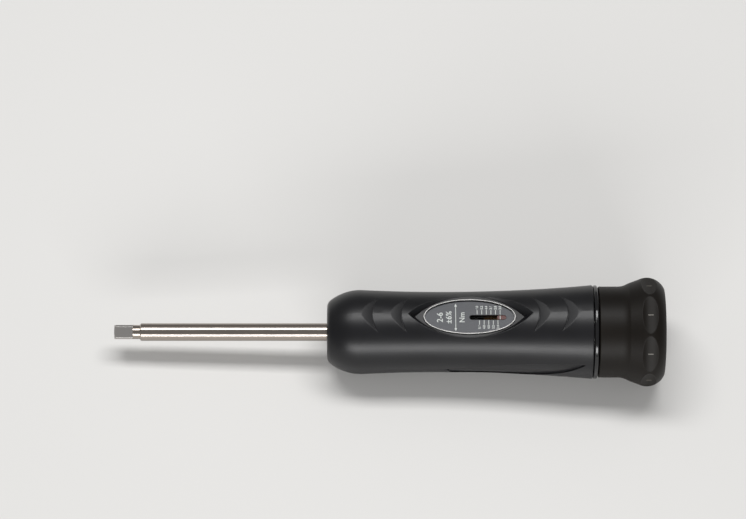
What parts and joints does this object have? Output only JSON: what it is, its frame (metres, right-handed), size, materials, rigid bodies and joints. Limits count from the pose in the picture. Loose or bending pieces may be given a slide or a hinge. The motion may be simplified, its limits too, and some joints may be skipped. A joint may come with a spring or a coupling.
{
  "type": "torque screwdriver",
  "caption": "Adjustable click-clutch torque screwdriver with a square drive, a waisted black grip, a scale window and a scalloped setting knob.",
  "frame": {"origin": "tip of the square drive, on the tool's axis", "axes": "+X from the drive tip to the setting knob, +Z the way the scale window faces"},
  "size_m": [0.2497, 0.0484, 0.0484],
  "materials": {
    "grip_plastic": "semi-matte moulded black",
    "knob_plastic": "matte warm black",
    "gloss_trim": "glossy black ring",
    "bronze": "sintered bronze",
    "machined_steel": "turned steel",
    "polished_steel": "polished chrome-plated steel",
    "ball_steel": "ground bearing steel",
    "spring_steel": "drawn wire",
    "bright_trim": "bright thin rim",
    "clear_lens": "clear acrylic window",
    "dial_aluminium": "grey satin anodised dial with white print",
    "red_plastic": "red pointer",
    "seal_rubber": "nitrile ring"
  },
  "bodies": {
    "grip": {"handle": "grip_plastic", "nose_bushing": "bronze", "inner_barrel": "machined_steel", "window_bezel": "bright_trim", "window_lens": "clear_lens", "scale_plate": "dial_aluminium", "front_thrust_washer": "machined_steel", "clutch_balls": "ball_steel", "pressure_plate": "machined_steel", "spring_seat": "machined_steel", "main_spring": "spring_steel", "front_bearing_race": "machined_steel", "rear_bearing_race": "machined_steel", "bearing_balls": "ball_steel", "rear_plug": "machined_steel", "trim_ring": "gloss_trim", "shaft_seal": "seal_rubber", "knob_click_ball": "ball_steel", "knob_click_spring": "spring_steel"},
    "drive": {"drive_shaft": "polished_steel", "drive_detent_ball": "ball_steel", "drive_detent_spring": "spring_steel", "clutch_cam": "machined_steel", "cam_circlip": "spring_steel"},
    "setting_knob": {"knob": "knob_plastic", "knob_screw": "machined_steel", "knob_cover": "knob_plastic", "lead_screw": "machined_steel"},
    "carriage": {"spring_nut": "bronze", "pointer": "red_plastic"}
  },
  "joints": [
    {"name": "drive_turn", "type": "hinge", "parent": "grip", "child": "drive", "pos_m": [0, 0, 0], "axis": [1, 0, 0], "continuous": true},
    {"name": "knob_turn", "type": "hinge", "parent": "grip", "child": "setting_knob", "pos_m": [0.2198, 0, 0], "axis": [1, 0, 0], "range_deg": [-1440, 0]},
    {"name": "carriage_slide", "type": "slide", "parent": "grip", "child": "carriage", "axis": [-1, 0, 0], "range_m": [0, 0.0104], "deforming": ["main_spring"]}
  ],
  "couplings": [
    {"joint": "carriage_slide", "follows": "knob_turn", "m_per_rad": -0.0004138}
  ]
}
